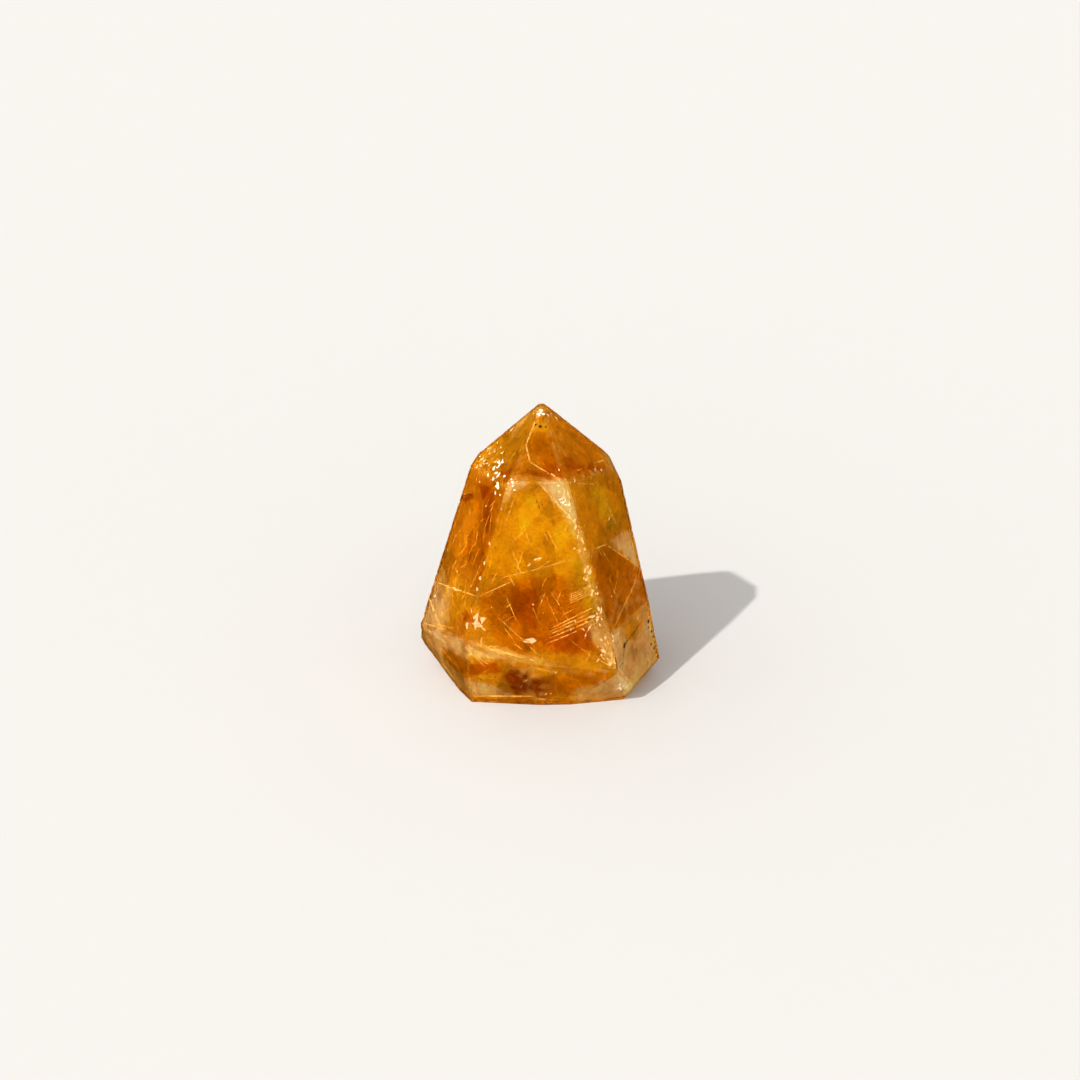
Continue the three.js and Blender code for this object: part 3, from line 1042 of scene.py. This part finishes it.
def add_rubbed_edge(work):
    """The rubbed edge between the front and the right side: a strip of small pale scraps."""
    rng = random.Random(17)
    for index in range(RUBBED_SCRAPS):
        up = rng.uniform(0.05, 0.95)
        width = 0.05 if up > 0.3 else 0.09
        add_chip(work, "front", 1 - abs(rng.gauss(0, width)), up, rng.uniform(0.3, 0.8), rng.uniform(1, 2.2),
                 rng.uniform(50, 130), seed=700 + index)


def add_dark_seams(work):
    """Dark seams, and dark grains under the tip and down the right edge of the lower right facet."""
    for seed, (name, path, width) in enumerate(DARK_LINES):
        add_line(work, name, path, width, ragged=0.8, seed=seed)
    rng = random.Random(9)
    for across, seed in ((0.2, 72), (0.5, 75), (0.8, 78)):
        add_chip(work, "crown_front", across, rng.uniform(0.78, 0.88), rng.uniform(0.4, 0.7), seed=seed)
    for index in range(GRAINS):
        up = 0.2 + 0.6 * index / GRAINS
        add_chip(work, "right_lower", rng.uniform(0.85, 0.95), up, rng.uniform(0.5, 0.9), seed=80 + index)
    add_chip(work, "right_lower", 0.25, 0.7, 1.1, seed=90)


def scatter_tree(material):
    """A tree that strews small flat flakes over a skin, thicker where its spark layer is higher."""
    tree = bpy.data.node_groups.new("strewn_flakes", "GeometryNodeTree")
    tree.interface.new_socket("Skin", in_out="INPUT", socket_type="NodeSocketGeometry")
    for name in ("Density", "Size", "Lift"):
        tree.interface.new_socket(name, in_out="INPUT", socket_type="NodeSocketFloat")
    tree.interface.new_socket("Seed", in_out="INPUT", socket_type="NodeSocketInt")
    tree.interface.new_socket("Flakes", in_out="OUTPUT", socket_type="NodeSocketGeometry")
    given = add_node(tree, "NodeGroupInput").outputs
    spark = add_node(
        tree, "GeometryNodeInputNamedAttribute", {"data_type": "FLOAT"}, Name="spark").outputs["Attribute"]
    density = add_node(tree, "ShaderNodeMath", {"operation": "MULTIPLY"}, i0=spark, i1=given["Density"])
    points = add_node(
        tree, "GeometryNodeDistributePointsOnFaces", Mesh=given["Skin"], Density=density.outputs[0],
        Seed=given["Seed"])
    flake = add_node(tree, "GeometryNodeMeshCircle", {"fill_type": "NGON"}, Vertices=3, Radius=0.5)
    least = add_node(tree, "ShaderNodeMath", {"operation": "MULTIPLY"}, i0=given["Size"], i1=0.25)
    sizes = add_node(
        tree, "FunctionNodeRandomValue", {"data_type": "FLOAT"}, i2=least.outputs[0], i3=given["Size"],
        Seed=given["Seed"])
    lengths = add_node(
        tree, "FunctionNodeRandomValue", {"data_type": "FLOAT"}, i2=0.5, i3=2.2, Seed=given["Seed"])
    long_way = add_node(
        tree, "ShaderNodeMath", {"operation": "MULTIPLY"}, i0=sizes.outputs[1], i1=lengths.outputs[1])
    shape = add_node(
        tree, "ShaderNodeCombineXYZ", X=sizes.outputs[1], Y=long_way.outputs[0], Z=sizes.outputs[1])
    spin = add_node(
        tree, "FunctionNodeRandomValue", {"data_type": "FLOAT"}, i2=0.0, i3=math.tau, Seed=given["Seed"])
    about = add_node(tree, "ShaderNodeCombineXYZ", Z=spin.outputs[1])
    turned = add_node(
        tree, "FunctionNodeRotateRotation", {"rotation_space": "LOCAL"},
        Rotation=points.outputs["Rotation"], Rotate_By=about.outputs[0])
    strewn = add_node(
        tree, "GeometryNodeInstanceOnPoints", Points=points.outputs["Points"], Instance=flake.outputs["Mesh"],
        Rotation=turned.outputs[0], Scale=shape.outputs[0])
    lift = add_node(tree, "ShaderNodeCombineXYZ", Z=given["Lift"])
    lifted = add_node(
        tree, "GeometryNodeTranslateInstances", Instances=strewn.outputs[0], Translation=lift.outputs[0])
    real = add_node(tree, "GeometryNodeRealizeInstances", Geometry=lifted.outputs[0])
    dressed = add_node(tree, "GeometryNodeSetMaterial", Geometry=real.outputs[0], Material=material)
    add_node(tree, "NodeGroupOutput", Flakes=dressed.outputs[0])
    return tree


def strewn_flakes(skin, settings, material):
    """The finished mesh of the scattered flakes, with the modifier that made it gone again."""
    carrier = bpy.data.objects.new("carrier", skin.copy())
    bpy.context.scene.collection.objects.link(carrier)
    modifier = carrier.modifiers.new("strewn_flakes", "NODES")
    modifier.node_group = scatter_tree(material)
    chosen = {
        "Density": settings.flake_density, "Size": settings.flake_size, "Lift": SKIN_LIFT * MM, "Seed": 4}
    for socket in modifier.node_group.interface.items_tree:
        if socket.name in chosen:
            modifier[socket.identifier] = chosen[socket.name]
    evaluated = carrier.evaluated_get(bpy.context.evaluated_depsgraph_get())
    mesh = bpy.data.meshes.new_from_object(evaluated)
    carrier.modifiers.clear()
    bpy.data.objects.remove(carrier)
    mesh.materials.clear()
    return mesh


class CITRINE_OT_sparks(bpy.types.Operator):
    """Make the small bright flakes strewn along the worn edges, crumbs of quartz whose pale colour is also
    painted sparkle
    """
    bl_idname = "citrine.sparks"
    bl_label = "Strewn flakes"

    def execute(self, context):
        # Pale matt crumbs of quartz, their colour also a painted sparkle.
        material = plain_mark_material("quartz_splinter_and_painted_sparkle", "#f0cf90")
        skin = bpy.data.objects["citrine_stone"].data
        mesh = strewn_flakes(skin, context.scene.citrine_crystal, material)
        link_piece("strewn_flakes", mesh, material)
        return {"FINISHED"}


class CITRINE_OT_marks(bpy.types.Operator):
    """Make the lines, larger flakes and dark grains on the polish"""
    bl_idname = "citrine.marks"
    bl_label = "Marks"

    def execute(self, context):
        for name, makers, material in (
                # Healed cracks: threads of golden rubble, broken every mm or so.
                ("healed_lines", (add_pale_lines,),
                 patchy_material("quartz_healed_line", "#f0b450", 0.9, 0.34, 0.58, 0.85)),
                # Scratches left by the polishing, which catch the light and glint gold.
                ("fine_scratches", (add_fine_lines,),
                 patchy_material("quartz_fine_scratch", "#f6ac38", 1.5, 0.3, 0.6, 0.75)),
                # Iron and manganese oxide: nearly black, and matt.
                ("dark_seams", (add_dark_seams,), plain_mark_material("iron_manganese_grains", "#2a1808")),
                # Fresh breaks: pale, powdery and broken up every half mm.
                ("bright_flakes", (add_flakes, add_rubbed_edge),
                 patchy_material("quartz_fresh_break", "#ecc488", 1.8, 0.28, 0.5, 0.9)),
                # Bruised quartz and painted glints: the whitest and brightest of the marks, matt white
                # standing in for the flash of light off broken quartz.
                ("white_painted_glints", (add_painted_glints,), plain_mark_material("quartz_bruised_white_painted_glint", "#fbeccb"))):
            work = bmesh.new()
            for make in makers:
                make(work)
            link_piece(name, work, material)
        return {"FINISHED"}


# ---------------------------------------------------------------- the stage

def make_floor(size):
    mesh = bpy.data.meshes.new("floor")
    half = size / 2
    corners = [(-half, -half, 0), (half, -half, 0), (half, half, 0), (-half, half, 0)]
    mesh.from_pydata(corners, [], [(0, 1, 2, 3)])
    mesh.materials.append(paper_material())
    floor = bpy.data.objects.new("floor", mesh)
    bpy.context.scene.collection.objects.link(floor)
    # In mirror reflections the floor would wash the sides pale that are seen at a low angle.
    floor.visible_glossy = False


def make_camera(settings):
    low, high = (Vector(corner) for corner in CAD_BOX)
    look_at = Vector((0, 0, low.z + (high.z - low.z) * settings.aim_share))
    away = Vector((0, -math.cos(settings.camera_rise), math.sin(settings.camera_rise)))
    data = bpy.data.cameras.new("camera")
    data.sensor_width = 36
    data.lens = data.sensor_width * settings.camera_distance * settings.stone_share / (high.x - low.x)
    camera = bpy.data.objects.new("camera", data)
    camera.location = look_at + away * settings.camera_distance
    camera.rotation_euler = (-away).to_track_quat("-Z", "Y").to_euler()
    bpy.context.scene.collection.objects.link(camera)
    bpy.context.scene.camera = camera


# The key light stands high at the front left.
SUN_FROM = facing(-50, 48)


def make_key():
    data = bpy.data.lights.new("key", "SUN")
    data.energy = 3.1
    data.angle = math.radians(1.2)
    data.color = (1, 0.985, 0.95)
    data.cycles.use_multiple_importance_sampling = False
    lamp = bpy.data.objects.new("key", data)
    lamp.rotation_euler = (-SUN_FROM).to_track_quat("-Z", "Y").to_euler()
    bpy.context.scene.collection.objects.link(lamp)


def make_world():
    world = bpy.data.worlds.new("soft_room")
    world.use_nodes = True
    tree = world.node_tree
    tree.nodes.clear()
    direction = add_node(tree, "ShaderNodeTexCoord").outputs["Generated"]
    rise = add_node(tree, "ShaderNodeSeparateXYZ", Vector=direction).outputs["Z"]
    # Brighter towards the horizon, and on the key light's side.
    low = add_node(tree, "ShaderNodeMath", {"operation": "SUBTRACT"}, i0=1.0, i1=rise)
    low = add_node(tree, "ShaderNodeMath", {"operation": "POWER"}, i0=low.outputs[0], i1=2.0)
    toward_key = add_node(
        tree, "ShaderNodeVectorMath", {"operation": "DOT_PRODUCT"}, i0=direction,
        i1=Vector((SUN_FROM.x, SUN_FROM.y, 0)).normalized())
    side = add_node(
        tree, "ShaderNodeMath", {"operation": "MULTIPLY_ADD"}, i0=toward_key.outputs["Value"], i1=0.7, i2=1.0)
    glow = add_node(tree, "ShaderNodeMath", {"operation": "MULTIPLY"}, i0=low.outputs[0], i1=side.outputs[0])
    total = add_node(
        tree, "ShaderNodeMath", {"operation": "MULTIPLY_ADD"}, i0=glow.outputs[0], i1=3.4, i2=0.46)
    light = add_node(tree, "ShaderNodeBackground", Color=(1, 0.985, 0.96, 1), Strength=total.outputs[0])
    add_node(tree, "ShaderNodeOutputWorld", Surface=light.outputs[0])
    world.cycles_visibility.glossy = False
    bpy.context.scene.world = world


class CITRINE_OT_stage(bpy.types.Operator):
    """Make the floor, the lights and the camera"""
    bl_idname = "citrine.stage"
    bl_label = "Stage"

    def execute(self, context):
        settings = context.scene.citrine_stage
        make_floor(settings.floor_size)
        make_camera(settings)
        make_world()
        make_key()
        context.scene.view_settings.view_transform = "Standard"
        cycles = context.scene.cycles
        cycles.max_bounces = 28
        cycles.diffuse_bounces = 12
        cycles.transmission_bounces = 20
        cycles.transparent_max_bounces = 40
        return {"FINISHED"}


class CITRINE_PT_panel(bpy.types.Panel):
    """The steps that make the stone, in order"""
    bl_label = "Citrine crystal point"
    bl_space_type = "VIEW_3D"
    bl_region_type = "UI"
    bl_category = "Citrine"

    def draw(self, context):
        for operator in OPERATORS:
            self.layout.operator(operator.bl_idname)


OPERATORS = (
    CITRINE_OT_stone, CITRINE_OT_layers, CITRINE_OT_cracks, CITRINE_OT_haze, CITRINE_OT_marks,
    CITRINE_OT_sparks, CITRINE_OT_stage)
CLASSES = (CrystalSettings, StageSettings, *OPERATORS, CITRINE_PT_panel)


def register():
    for cls in CLASSES:
        bpy.utils.register_class(cls)
    bpy.types.Scene.citrine_crystal = PointerProperty(type=CrystalSettings)
    bpy.types.Scene.citrine_stage = PointerProperty(type=StageSettings)


def unregister():
    del bpy.types.Scene.citrine_stage
    del bpy.types.Scene.citrine_crystal
    for cls in reversed(CLASSES):
        bpy.utils.unregister_class(cls)


def main():
    register()
    bpy.ops.citrine.stone()
    bpy.ops.citrine.layers()
    bpy.ops.citrine.cracks()
    bpy.ops.citrine.haze()
    bpy.ops.citrine.marks()
    bpy.ops.citrine.sparks()
    bpy.ops.citrine.stage()


if __name__ == "__main__":
    main()
